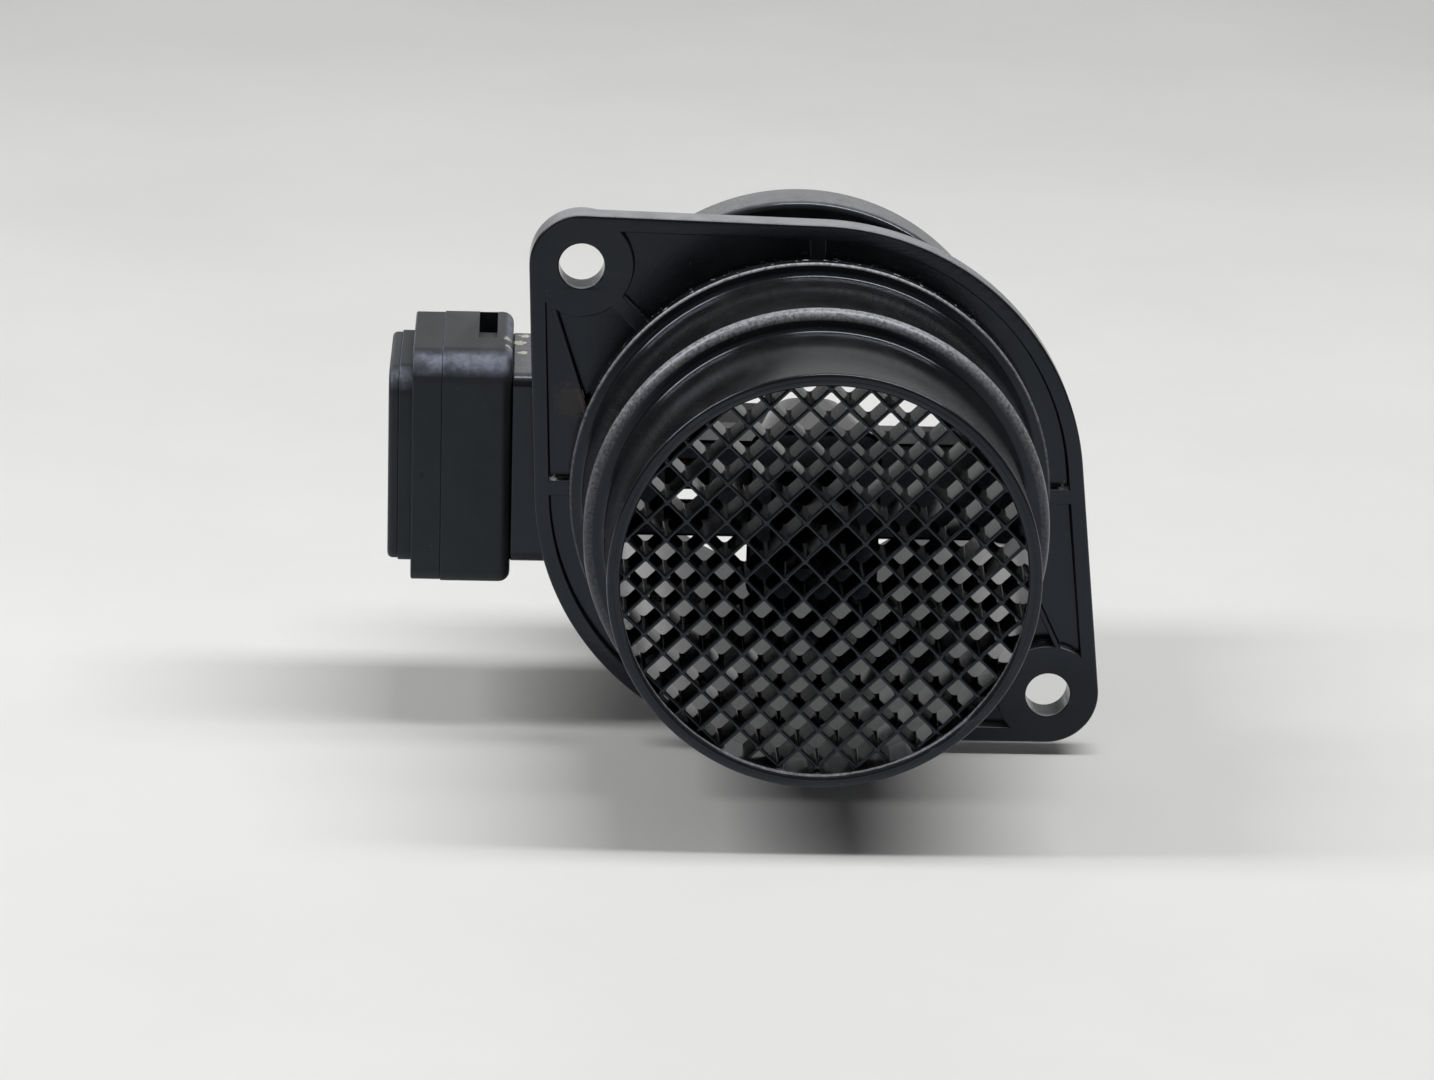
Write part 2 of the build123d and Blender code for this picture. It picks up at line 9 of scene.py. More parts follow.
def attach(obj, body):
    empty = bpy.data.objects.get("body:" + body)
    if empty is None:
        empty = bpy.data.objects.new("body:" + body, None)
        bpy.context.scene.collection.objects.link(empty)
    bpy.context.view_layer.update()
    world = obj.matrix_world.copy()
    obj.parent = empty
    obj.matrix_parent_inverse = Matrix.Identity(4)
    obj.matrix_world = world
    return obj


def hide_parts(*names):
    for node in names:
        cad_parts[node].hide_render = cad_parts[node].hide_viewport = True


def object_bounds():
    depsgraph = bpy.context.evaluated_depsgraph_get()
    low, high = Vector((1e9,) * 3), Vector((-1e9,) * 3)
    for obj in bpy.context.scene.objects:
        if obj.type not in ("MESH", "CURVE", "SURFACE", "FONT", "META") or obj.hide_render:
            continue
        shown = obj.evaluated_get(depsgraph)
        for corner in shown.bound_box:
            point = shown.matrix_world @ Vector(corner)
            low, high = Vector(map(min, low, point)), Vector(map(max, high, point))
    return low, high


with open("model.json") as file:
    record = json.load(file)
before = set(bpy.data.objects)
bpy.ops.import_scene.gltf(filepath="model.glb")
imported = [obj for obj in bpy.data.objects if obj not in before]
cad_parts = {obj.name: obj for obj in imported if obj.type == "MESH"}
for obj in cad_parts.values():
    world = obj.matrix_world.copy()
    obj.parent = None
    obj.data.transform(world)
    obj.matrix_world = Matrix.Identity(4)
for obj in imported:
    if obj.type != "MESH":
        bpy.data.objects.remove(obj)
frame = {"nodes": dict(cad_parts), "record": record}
cad_bounds = [list(corner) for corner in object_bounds()]

MM = 0.001
PAST = 1.0                # how far cutters reach past a shape and joined solids sink in, in millimetres

# ---- camera: place in metres, and axes ----
CAMERA_PLACE = (-0.0449, -0.7263, 0.2257)
CAMERA_RIGHT = (0.999, -0.033, 0.0291)
CAMERA_UP = (-0.0176, 0.3069, 0.9516)
CAMERA_BACK = (-0.0403, -0.9512, 0.3060)
LENS = 123.26             # in millimetres, as is the sensor's width
SENSOR = 36.0

# ---- room, in metres ----
FLOOR_REACH = 3.0
BACKDROP_Y = 0.9
SWEEP_R = 0.15
SWEEP_STEPS = 16
FLOOR_TONES = ((0.70, 0.70, 0.69), (0.75, 0.75, 0.74))
FLOOR_ROUGHNESS = 0.6
LAMP_DISTANCE = 1.0
LAMP_Y = -0.05
LAMPS = {                 # direction in degrees from +X towards +Z, size, and power in watts
    "lamp_right": (72, (0.9, 0.16), 8.6),
    "lamp_left": (134, (0.5, 0.16), 4.8)}
WORLD_GREY = 0.8
WORLD_STRENGTH = 0.18

# ---- duct, in millimetres: the CAD's sizes ----
BORE_R = 30.0
INLET_R = 32.0
INLET_Y = -45.0
SHOULDER_Y = -22.4
SEAT_R = 35.4
SEAT_BACK_R = 35.1        # the seat's draft
HUB_R = 37.3
HUB_Y = -2.0
FLANGE_T = 4.3
TUBE_R = 32.2
SKIRT_R = 33.4            # inside of the seat's skirt
CORE_Y = -20.2
BEAD_Y = 45.0
OUTLET_Y = 55.0
BEAD_R = 35.2
POCKET_R = 31.0
RING_DEPTH = 7.9
TURN_STEPS = 288
ARC_STEPS = 5
SHARP_ANGLE = 32.0        # edges sharper than this stay crisp
NORMAL_WEIGHT = 80        # how strongly large faces set the shading of their edges
OUTLINE_STEPS = 720
WELD = 0.002              # points of the CAD's mesh this close are one
CLOSE = 0.02              # places in the CAD's mesh this close are equal

# ---- flange ----
FLANGE_R = 42.7
HOLE_PITCH_R = 50.65
HOLE_ANGLES = (135.4, -40.1)
HOLE_R = 3.5
HOLE_STEPS = 64
EAR_R = 8.0
EAR_BACK = 5.3
POCKET_DEPTHS = (2.0, 3.4)
LIP = 0.25                # rounding of the flange's back edges and its screw holes
FRONT_LIP = 0.4
POCKET_LIP = 0.175
POCKET_FOOT = 0.2
POCKET_SUNK = 0.8         # how far the pockets' inner ends run under the raised ring
HIDDEN_R = 35.8           # the flange's inner edge, inside the raised ring
HIDDEN_LIP = 0.1
DRILL_Y = 3.1             # where the ears' drills start, inside the plate's holes
GUSSET_T = 1.8
GUSSET_LENGTH = 13.0
GUSSET_SPREAD = 12.0      # degrees to either side of a screw hole
GUSSET_LIP = 0.2
GUSSET_EDGE = 2.4         # from the gusset's foot to the flange's edge
GUSSET_SUNK = 0.1         # of the foot in the flange
GUSSET_TAIL = 0.2         # height of the gusset's back end over the tube

# ---- grid ----
RING_R = 30.99
GRID_PITCH = 4.13
GRID_FRONT = -43.4
GRID_BACK = -37.1
GRID_ANGLE = 45.0
CELL_HALF = 1.765         # half a cell, behind the rounding of the bars
CELL_CORNER = 0.3
CELL_BACK_HALF = 1.67     # the cells narrow and their corners fill in towards the back
CELL_BACK_CORNER = 0.7
BAR_LIP = 0.29
RIM_LIP = 0.7             # rounding of the rim's inner edge
RIM_STEPS = 192
CELL_PAST = 0.3           # how far the cells' cutters reach past the plate
CELL_SUNK = 0.1           # how far the outermost cells' cutters reach into the rim
PLATE_SUNK = 0.5          # how far the plate reaches into the rim

# ---- measuring nozzle ----
NOZZLE_FRONT = -13.0
STRUT_FRONT = 1.0
STRUT_BACK = 11.6
STRUT_HEIGHT = 15.6
NOZZLE_MOUTH = (20.4, 27.6, 3.0)    # width, height and corner
NOZZLE_REAR = (14.0, 24.0, 5.0)
PASSAGE_MOUTH = (12.4, 15.6, 1.5)
PASSAGE_REAR = (9.0, 3.8, 0.4)
PASSAGE_REAR_Z = 1.5
MOUTH_LIP = 0.8
NOZZLE_LIP = 0.3
PASSAGE_LIP = 0.5
PASSAGE_PAST = 0.1
STRUT_CORNER = 0.5
STRUT_CUT_Y = (0.0, 13.0)           # past both ends of the struts
WALL_GAP = 0.05           # between the struts' ends and the duct
STRUT_WINDOW = (7.0, 10.0, 0.4)     # window for the probe in one strut
STRUT_WINDOW_X = -19.0

# ---- module ----
MODULE_Y = 22.4
SEAT_X = -46.3
NECK = (26.6, 30.8, 2.0)            # sizes in Y and Z and corner, as in the tuples below
NECK_LIPS = (0.3, 0)
NECK_ROOT = -25.0         # inside the outlet tube
NECK_DRILL_Y = (0.0, 50.0)
NECK_CORE = (22.6, 5.4, 0.8)        # each pocket in the neck
NECK_CORE_Z = 10.7
NECK_CORE_X = -33.3
SLOT = (21.7, 12.1, 2.55)           # the neck's slot for the plug
SLOT_X = -20.0
BODY = (27.8, 37.4, 5.0)
MODULE_SHARES = (0.4, 1, 0.4, 0.4)  # the corners are sharper at the back and the front underside
BODY_LIPS = (0.15, 1.7)   # roundings at the body's outer and inner end
FRAME = (27.5, 37.1, 4.85)
FRAME_LIPS = (0.3, 0.15)
COLLAR = (25.4, 31.4, 4.6)
COLLAR_LIPS = (0.2, 0)
COLLAR_SUNK = 0.5
COVER = (24.9, 30.9, 4.35)
COVER_LIPS = (0.8, 0.15)
CHAMBER = (21.0, 27.0, 2.8)
BODY_X = -57.25
FRAME_X = -61.9
COLLAR_X = -64.0
COVER_X = -65.6
MODULE_BACK = 36.3
SOCKET = (7.6, 27.0, 2.0)           # sizes in X and Z and corner
SOCKET_X = -51.7
SOCKET_FLOOR = 23.3
LATCH_X = -50.3
LATCH_W = 2.9
LATCH_CORNER = 0.2
LATCH_RAMP = (17.4, 7.0)            # from the module's back to both ends of the ramp
LATCH_DEPTHS = (0.4, 2.0)           # of the ramp at these ends
LATCH_WINDOW = (7.2, 1.0)           # from the module's back to both ends of the window
LATCH_WINDOW_Z = (8.0, 22.0)
LATCH_PASSAGE = 3.0                 # from the module's back, under the bridge behind the window
LATCH_PASSAGE_Z = (9.0, 15.0)
PLUG = (21.6, 12.0, 2.5)
PLUG_GROOVE = (19.0, 9.4, 1.2)      # section under the seal
PLUG_GROOVE_X = (-43.7, -41.9)
PLUG_CORE_X = (-44.0, -41.5)        # the groove's core, sunk in the plug at both ends
PLUG_SUNK = 0.5
PLUG_LIP = 0.3
PLUG_END = -37.3
PROBE_TIP = 10.0
PROBE_DEPTH = 20.0
PROBE_HEIGHT = 10.0
PROBE_NOSE = 3.0
TRAY_LIPS = (0.4, 0.1)
PROBE_COVER_LIPS = (0.1, 0.4)
TRAY_TOP = 3.4
CHANNEL_FLOOR = -0.4
CHANNEL_HALF = 4.5
THROAT_HALF = 2.8
CHANNEL_Y = (12.2, 12.6, 14.9, 22.4, 32.2, 32.6)    # two places each at its mouth, throat and outlet
NOTCH_X = (-22.5, -15.5)
NOTCH_Y = (11.0, 16.9)


def link(name, data):
    thing = bpy.data.objects.new(name, data)
    bpy.context.scene.collection.objects.link(thing)
    return thing


def solid(name, points, faces):
    """Closed mesh from points in millimetres, with its faces turned outwards."""
    mesh = bmesh.new()
    verts = [mesh.verts.new([MM * c for c in p]) for p in points]
    for face in faces:
        mesh.faces.new([verts[i] for i in face])
    bmesh.ops.recalc_face_normals(mesh, faces=mesh.faces)
    data = bpy.data.meshes.new(name)
    mesh.to_mesh(data)
    mesh.free()
    return link(name, data)


def polar(radius, degrees):
    return (radius * math.cos(math.radians(degrees)), radius * math.sin(math.radians(degrees)))


def rounded(corners, steps=ARC_STEPS):
    """Closed outline from (u, v, radius) corners, each rounded by its radius."""
    outline = []
    count = len(corners)
    for i, (u, v, radius) in enumerate(corners):
        here = Vector((u, v))
        if not radius:
            outline.append(here)
            continue
        before = (Vector(corners[i - 1][:2]) - here).normalized()
        after = (Vector(corners[(i + 1) % count][:2]) - here).normalized()
        half = before.angle(after) / 2
        centre = here + (before + after).normalized() * (radius / math.sin(half))
        start = here + before * (radius / math.tan(half)) - centre
        end = here + after * (radius / math.tan(half)) - centre
        turn = start.angle_signed(end)
        for k in range(steps + 1):
            outline.append(centre + Matrix.Rotation(-turn * k / steps, 2) @ start)
    return outline


def turned(name, outline, steps=TURN_STEPS):
    """Solid of revolution about the duct's axis from a closed (radius, y) outline."""
    points, faces = [], []
    count = len(outline)
    for k in range(steps):
        a = 2 * math.pi * k / steps
        points += [(r * math.cos(a), y, r * math.sin(a)) for r, y in outline]
    for k in range(steps):
        for i in range(count):
            j = (i + 1) % count
            n = (k + 1) % steps
            faces.append((k * count + i, k * count + j, n * count + j, n * count + i))
    return solid(name, points, faces)


def rings_between(points, faces, rings):
    """Adds rings of equal length and the walls between them; returns the first index of each ring."""
    starts = []
    for ring in rings:
        starts.append(len(points))
        points += ring
    for a, b in zip(starts, starts[1:]):
        n = len(rings[0])
        faces += [(a + i, a + (i + 1) % n, b + (i + 1) % n, b + i) for i in range(n)]
    return starts


def offset(outline, distance):
    """Outline of (x, z) points moved sideways; positive is outwards for a counter-clockwise outline."""
    area = sum(a[0] * b[1] - b[0] * a[1] for a, b in zip(outline, outline[1:] + outline[:1]))
    sign = 1 if area > 0 else -1
    moved = []
    for i, here in enumerate(outline):
        here = Vector(here)
        before = (here - Vector(outline[i - 1])).normalized()
        after = (Vector(outline[(i + 1) % len(outline)]) - here).normalized()
        first = Vector((before.y, -before.x))
        second = Vector((after.y, -after.x))
        middle = first + second
        scale = min(2.0, 2 / max(middle.length_squared, 0.5))
        moved.append(here + middle * (sign * distance * scale))
    return [tuple(p) for p in moved]


def cap(points, faces, loops):
    """Fills the flat region inside the first loop of indices and outside the others."""
    outlines = [[Vector((points[i][0], points[i][2], 0)) for i in loop] for loop in loops]
    flat = [i for loop in loops for i in loop]
    faces += [tuple(flat[i] for i in face) for face in tessellate_polygon(outlines)]


def loop_from(start, count):
    return list(range(start, start + count))


def stacked(points, faces, rings):
    """Adds rings of equal length, the walls between them and a face over each end."""
    starts = rings_between(points, faces, rings)
    for start in (starts[0], starts[-1]):
        faces.append(tuple(loop_from(start, len(rings[0]))))


def lofted(name, rings):
    points, faces = [], []
    stacked(points, faces, rings)
    return solid(name, points, faces)


def combined(base, others, operation="UNION"):
    """Joins the other solids to the base, or cuts it or keeps what it shares with them, and removes them."""
    for other in others:
        step = base.modifiers.new("join", "BOOLEAN")
        step.operation = operation
        step.solver = "MANIFOLD"
        step.object = other
        graph = bpy.context.evaluated_depsgraph_get()
        result = bpy.data.meshes.new_from_object(base.evaluated_get(graph))
        base.modifiers.remove(step)
        base.data = result
        bpy.data.objects.remove(other)
    return base


def level(outline, y):
    return [(x, y, z) for x, z in outline]


def quarter(lip, steps=4):
    """(depth, inset) along a quarter-round lip, from the face to the wall."""
    return [(lip * (1 - math.cos(math.pi / 2 * k / steps)), lip * (1 - math.sin(math.pi / 2 * k / steps)))
            for k in range(steps + 1)]


def extruded(name, outline, axis, low, high, lips=(0, 0)):
    """Prism along X, Y or Z from an outline of the other two coordinates, its ends rounded by lips."""
    index = "XYZ".index(axis)
    low_steps = quarter(lips[0]) if lips[0] else [(0, 0)]
    high_steps = quarter(lips[1]) if lips[1] else [(0, 0)]
    stack = [(low + depth, inset) for depth, inset in low_steps]
    stack += [(high - depth, inset) for depth, inset in reversed(high_steps)]
    rings = []
    for height, inset in stack:
        ring = [list(spot) for spot in (offset(outline, -inset) if inset else outline)]
        for spot in ring:
            spot.insert(index, height)
        rings.append(ring)
    return lofted(name, rings)


def rectangle(size, middle=(MODULE_Y, 0.0), steps=10, shares=(1, 1, 1, 1)):
    """Rounded rectangle from (width, height, corner radius).

    Shares scale the radius at the right top, left top, left low and right low corner. For the module's
    pieces, drawn in Y and Z, right is the back and left is the front.
    """
    u, v = size[0] / 2, size[1] / 2
    spots = [(u, v), (-u, v), (-u, -v), (u, -v)]
    outline = rounded([(*spot, size[2] * share) for spot, share in zip(spots, shares)], steps)
    return [(p.x + middle[0], p.y + middle[1]) for p in outline]


def circle(radius, middle=(0.0, 0.0), steps=96):
    return [tuple(Vector(middle) + Vector(polar(radius, 360 * k / steps))) for k in range(steps)]


# ---- duct ----
def duct_turning():
    """Spigot, seat, raised ring, outlet tube and hose bead, from (radius, y, rounding) corners."""
    return turned("duct_moulding", rounded([
        (POCKET_R, INLET_Y, 0.02), (INLET_R, INLET_Y, 0.45),
        (INLET_R, SHOULDER_Y, 0.9), (SEAT_R, SHOULDER_Y, 1.6),
        (SEAT_BACK_R, HUB_Y, 0.9), (HUB_R, HUB_Y, 0.5),
        (HUB_R, FLANGE_T, 0), (SKIRT_R, FLANGE_T, 0.2),
        (SKIRT_R, CORE_Y, 0.4), (TUBE_R, CORE_Y, 0.4),
        (TUBE_R, BEAD_Y, 0.5), (BEAD_R, BEAD_Y, 1.3),
        (BEAD_R, OUTLET_Y, 1.3), (BORE_R, OUTLET_Y, 0.6),
        (BORE_R, INLET_Y + RING_DEPTH, 0), (POCKET_R, INLET_Y + RING_DEPTH, 0),
    ]))


def reach(direction, centre, ear_radius):
    """Distance from the axis to the edge of the shape that wraps the round plate and one ear."""
    best = FLANGE_R
    steps = 160
    for k in range(steps + 1):
        t = k / steps
        middle = centre * t
        radius = FLANGE_R + (ear_radius - FLANGE_R) * t
        along = direction.dot(middle)
        under = along * along - middle.length_squared + radius * radius
        if under > 0:
            best = max(best, along + math.sqrt(under))
    return best


def flange_outline():
    """Round plate with two ears; the lower ear has a level underside."""
    low = polar(HOLE_PITCH_R, HOLE_ANGLES[1])[1] - EAR_R
    outline = []
    for k in range(OUTLINE_STEPS):
        direction = Vector(polar(1, 360 * k / OUTLINE_STEPS))
        upper = reach(direction, Vector(polar(HOLE_PITCH_R, HOLE_ANGLES[0])), EAR_R)
        lower = reach(direction, Vector(polar(HOLE_PITCH_R, HOLE_ANGLES[1])), EAR_R)
        if direction.y < 0:
            lower = min(lower, low / direction.y)
        outline.append(tuple(direction * max(upper, lower, FLANGE_R)))
    return outline


def pocket_outlines(depth):
    """Outlines of the CAD flange's pocket floors at one depth, with inner ends under the raised ring."""
    mesh = bmesh.new()
    mesh.from_mesh(frame["nodes"]["duct_housing"].data)
    bmesh.ops.remove_doubles(mesh, verts=mesh.verts, dist=WELD * MM)
    mesh.normal_update()
    floor = {f for f in mesh.faces
             if f.normal.y < -0.99 and abs(f.calc_center_median().y / MM - depth) < CLOSE}
    rim = [e for e in mesh.edges if sum(f in floor for f in e.link_faces) == 1]
    near = {}
    for edge in rim:
        for vert in edge.verts:
            near.setdefault(vert, []).append(edge.other_vert(vert))
    outlines = []
    while near:
        start = next(iter(near))
        loop, here, came = [start], near[start][0], start
        while here is not start:
            loop.append(here)
            here, came = [v for v in near[here] if v is not came][0], here
        for vert in loop:
            near.pop(vert)
        outline = []
        for vert in loop:
            spot = Vector((vert.co.x / MM, vert.co.z / MM))
            if spot.length < HUB_R + CLOSE:
                spot = spot.normalized() * (HUB_R - POCKET_SUNK)
            outline.append(tuple(spot))
        outlines.append(outline)
    mesh.free()
    return outlines


def flange_plate():
    """Plate with rounded edges, its pockets and screw holes."""
    points, faces = [], []
    front_loops, back_loops = [], []
    outline = flange_outline()
    rings = [level(offset(outline, -inset), depth) for depth, inset in quarter(FRONT_LIP)]
    rings += [level(offset(outline, -inset), FLANGE_T - depth) for depth, inset in reversed(quarter(LIP))]
    starts = rings_between(points, faces, rings)
    front_loops.append(loop_from(starts[0], len(outline)))
    back_loops.append(loop_from(starts[-1], len(outline)))
    inner = [polar(HIDDEN_R, 360 * k / TURN_STEPS) for k in range(TURN_STEPS)]
    holes = [circle(HOLE_R, polar(HOLE_PITCH_R, a), HOLE_STEPS) for a in HOLE_ANGLES]
    for hole, lip in [(inner, HIDDEN_LIP)] + [(h, LIP) for h in holes]:
        rings = [level(offset(hole, inset), depth) for depth, inset in quarter(lip)]
        rings.append(level(hole, FLANGE_T))
        starts = rings_between(points, faces, rings)
        front_loops.append(loop_from(starts[0], len(hole)))
        back_loops.append(loop_from(starts[-1], len(hole)))
    for floor in POCKET_DEPTHS:
        foot = [(floor - depth, inset) for depth, inset in reversed(quarter(POCKET_FOOT))]
        for pocket in pocket_outlines(floor):
            rings = [level(offset(pocket, inset), depth) for depth, inset in quarter(POCKET_LIP)]
            rings += [level(offset(pocket, -inset), y) for y, inset in foot]
            starts = rings_between(points, faces, rings)
            front_loops.append(loop_from(starts[0], len(pocket)))
            cap(points, faces, [loop_from(starts[-1], len(pocket))])
    cap(points, faces, front_loops)
    cap(points, faces, back_loops)
    return solid("flange_plate", points, faces)


def gusset(angle):
    """Triangular web from the outlet tube to the back of the flange."""
    outer, inner = FLANGE_R - GUSSET_EDGE, TUBE_R - PAST
    front, back = FLANGE_T - GUSSET_SUNK, FLANGE_T + GUSSET_LENGTH
    side = [(inner, front), (outer, front), (outer, EAR_BACK), (TUBE_R + GUSSET_TAIL, back), (inner, back)]
    out, tangent = Vector(polar(1, angle)), Vector(polar(1, angle + 90))
    lip = GUSSET_LIP
    rings = []
    for depth, inset in ((0, lip), (lip, 0), (GUSSET_T - lip, 0), (GUSSET_T, lip)):
        ring = []
        for r, y in offset(side, -inset):
            spot = out * r + tangent * (depth - GUSSET_T / 2)
            ring.append((spot.x, y, spot.y))
        rings.append(ring)
    return lofted("gusset", rings)


def neck():
    """Tower that receives the module, cored on both sides of its slot."""
    tower = extruded("neck", rectangle(NECK), "X", SEAT_X, NECK_ROOT, NECK_LIPS)
    middles = [(MODULE_Y, side * NECK_CORE_Z) for side in (-1, 1)]
    cores = [extruded("core", rectangle(NECK_CORE, middle), "X", SEAT_X - PAST, NECK_CORE_X)
             for middle in middles]
    drill = extruded("drill", circle(TUBE_R - PAST), "Y", *NECK_DRILL_Y)
    return combined(tower, cores + [drill], "DIFFERENCE")


def duct():
    middles = [polar(HOLE_PITCH_R, a) for a in HOLE_ANGLES]
    ears = [extruded("ear", circle(EAR_R, middle), "Y", FLANGE_T - PAST, EAR_BACK, (0, LIP))
            for middle in middles]
    drills = [extruded("drill", circle(HOLE_R, middle, HOLE_STEPS), "Y", DRILL_Y, EAR_BACK + PAST)
              for middle in middles]
    webs = [gusset(a + turn) for a in HOLE_ANGLES for turn in (-GUSSET_SPREAD, GUSSET_SPREAD)]
    body = combined(duct_turning(), [flange_plate()] + ears + webs + [neck()])
    slot = extruded("slot", rectangle(SLOT), "X", SEAT_X - PAST, SLOT_X)
    return combined(body, drills + [slot], "DIFFERENCE")


# ---- flow grid ----
def cell_ring(column, row, half, corner, y):
    """Rounded square of one grid cell, turned by the grid's angle."""
    middle = Vector(((column + 0.5) * GRID_PITCH, (row + 0.5) * GRID_PITCH))
    turn = Matrix.Rotation(math.radians(GRID_ANGLE), 2)
    spots = rectangle((2 * half, 2 * half, corner), (0, 0), 4)
    return level([tuple(turn @ (middle + Vector(spot))) for spot in spots], y)


def cells():
    """One mesh with a prism for each cell of the grid."""
    furthest = 1.5 * CELL_HALF + BORE_R
    count = math.ceil(BORE_R / GRID_PITCH)
    profile = [(GRID_FRONT - CELL_PAST, CELL_HALF + BAR_LIP, CELL_CORNER)]
    profile += [(GRID_FRONT + depth, CELL_HALF + inset, CELL_CORNER) for depth, inset in quarter(BAR_LIP, 3)]
    profile.append((GRID_BACK - CELL_PAST, CELL_BACK_HALF, CELL_BACK_CORNER))
    profile.append((GRID_BACK + CELL_PAST, CELL_BACK_HALF + CELL_PAST, CELL_BACK_CORNER))
    points, faces = [], []
    for column in range(-count, count):
        for row in range(-count, count):
            if math.hypot(column + 0.5, row + 0.5) * GRID_PITCH > furthest:
                continue
            stacked(points, faces, [cell_ring(column, row, half, corner, y) for y, half, corner in profile])
    return solid("cells", points, faces)


def grid():
    """Rim, and a plate between its walls that is left standing between the cells."""
    rim = turned("inlet_grid_moulding", rounded([
        (BORE_R, INLET_Y, RIM_LIP), (RING_R, INLET_Y, 0.02), (RING_R, INLET_Y + RING_DEPTH, 0),
        (BORE_R, INLET_Y + RING_DEPTH, 0.1)], 3), RIM_STEPS)
    plate = extruded("plate", circle(BORE_R + PLATE_SUNK, steps=RIM_STEPS), "Y", GRID_FRONT, GRID_BACK)
    bore = circle(BORE_R + CELL_SUNK, steps=RIM_STEPS)
    inside = extruded("inside", bore, "Y", GRID_FRONT - PAST, GRID_BACK + PAST)
    openings = combined(cells(), [inside], "INTERSECT")
    return combined(rim, [combined(plate, [openings], "DIFFERENCE")])


# ---- measuring nozzle ----
def section(size, y, inset=0.0, height=0.0):
    """Rounded rectangle in X and Z at a distance along the axis, drawn in by the inset."""
    smaller = (size[0] - 2 * inset, size[1] - 2 * inset, max(size[2] - inset, 0.05))
    return level(rectangle(smaller, (0, height), 8), y)


def nozzle_between(share):
    """Size of the nozzle's outside at a share of its length."""
    return tuple(a + (b - a) * share for a, b in zip(NOZZLE_MOUTH, NOZZLE_REAR))


def measuring_nozzle():
    """Nozzle that leads air into the probe's channel, on struts that end at the duct's wall."""
    length = STRUT_BACK - NOZZLE_FRONT
    rings = [section(nozzle_between(depth / length), NOZZLE_FRONT + depth, inset)
             for depth, inset in quarter(MOUTH_LIP, 6)]
    rings.append(section(NOZZLE_REAR, STRUT_BACK - NOZZLE_LIP))
    rings.append(section(NOZZLE_REAR, STRUT_BACK, NOZZLE_LIP))
    body = lofted("measuring_nozzle_moulding", rings)
    half = STRUT_HEIGHT / 2
    spots = [(STRUT_FRONT, half), (STRUT_BACK, half), (STRUT_BACK, -half), (STRUT_FRONT, -half)]
    side = [tuple(p) for p in rounded([(*spot, STRUT_CORNER) for spot in spots])]
    struts = extruded("struts", side, "X", -BORE_R, BORE_R)
    wall = extruded("wall", circle(BORE_R - WALL_GAP, steps=RIM_STEPS), "Y", *STRUT_CUT_Y)
    struts = combined(struts, [wall], "INTERSECT")
    window = extruded("window", rectangle(STRUT_WINDOW, (STRUT_WINDOW_X, 0), 6), "Y", *STRUT_CUT_Y)
    start, end = NOZZLE_FRONT - PASSAGE_PAST, STRUT_BACK + PASSAGE_PAST
    passage = [section(PASSAGE_MOUTH, start, -PASSAGE_LIP), section(PASSAGE_MOUTH, start + PASSAGE_LIP),
               section(PASSAGE_REAR, end, height=PASSAGE_REAR_Z)]
    return combined(combined(body, [struts]), [window, lofted("passage", passage)], "DIFFERENCE")


# ---- sensor module ----
def probe_plan(low_x):
    """Plan of the probe in X and Y, with its tip rounded."""
    front, back = MODULE_Y - PROBE_DEPTH / 2, MODULE_Y + PROBE_DEPTH / 2
    tip = [(PROBE_TIP, front, PROBE_NOSE), (PROBE_TIP, back, PROBE_NOSE)]
    return [tuple(p) for p in rounded(tip + [(low_x, back, 0), (low_x, front, 0)], 8)]


def thermistor_notch():
    (low_x, high_x), (low_y, high_y) = NOTCH_X, NOTCH_Y
    outline = [(low_x, low_y), (high_x, low_y), (high_x, high_y), (low_x, high_y)]
    return extruded("notch", outline, "Z", -PROBE_HEIGHT / 2 - PAST, PROBE_HEIGHT / 2 + PAST)


def latch_cut(name, heights, front, back):
    low, high = heights
    outline = rectangle((LATCH_W, high - low, LATCH_CORNER), (LATCH_X, (low + high) / 2), 6)
    return extruded(name, outline, "Y", front, back)


def latch_cuts():
    """Window in the socket's top with a bridge behind it, and the ramp that leads the latch to it."""
    start, end = [MODULE_BACK - distance for distance in LATCH_WINDOW]
    window = latch_cut("window", LATCH_WINDOW_Z, start, end)
    passage = latch_cut("passage", LATCH_PASSAGE_Z, MODULE_BACK - LATCH_PASSAGE, MODULE_BACK + PAST)
    start, end = [MODULE_BACK - distance for distance in LATCH_RAMP]
    top = BODY[1] / 2
    side = [(start, top - LATCH_DEPTHS[0]), (end, top - LATCH_DEPTHS[1])]
    side += [(end, top + PAST), (start, top + PAST)]
    ramp = extruded("ramp", side, "X", LATCH_X - LATCH_W / 2, LATCH_X + LATCH_W / 2)
    return [window, passage, ramp]


def plug():
    """Solid plug in three lengths, the middle one thinner for the seal."""
    start, end = PLUG_GROOVE_X
    return [extruded("plug", rectangle(PLUG), "X", SEAT_X - PLUG_SUNK, start),
            extruded("plug", rectangle(PLUG_GROOVE), "X", *PLUG_CORE_X),
            extruded("plug", rectangle(PLUG), "X", end, PLUG_END, (PLUG_LIP, PLUG_LIP))]


def tray():
    """Lower part of the probe, with the measuring channel open at its top."""
    body = extruded("tray", probe_plan(PLUG_END - PAST), "Z", -PROBE_HEIGHT / 2, TRAY_TOP, TRAY_LIPS)
    halves = (CHANNEL_HALF, CHANNEL_HALF, THROAT_HALF, THROAT_HALF, CHANNEL_HALF, CHANNEL_HALF)
    side = [(-half, y) for half, y in zip(halves, CHANNEL_Y)]
    outline = side + [(-x, y) for x, y in reversed(side)]
    channel = extruded("channel", outline, "Z", CHANNEL_FLOOR, TRAY_TOP + PAST)
    return combined(body, [channel, thermistor_notch()], "DIFFERENCE")


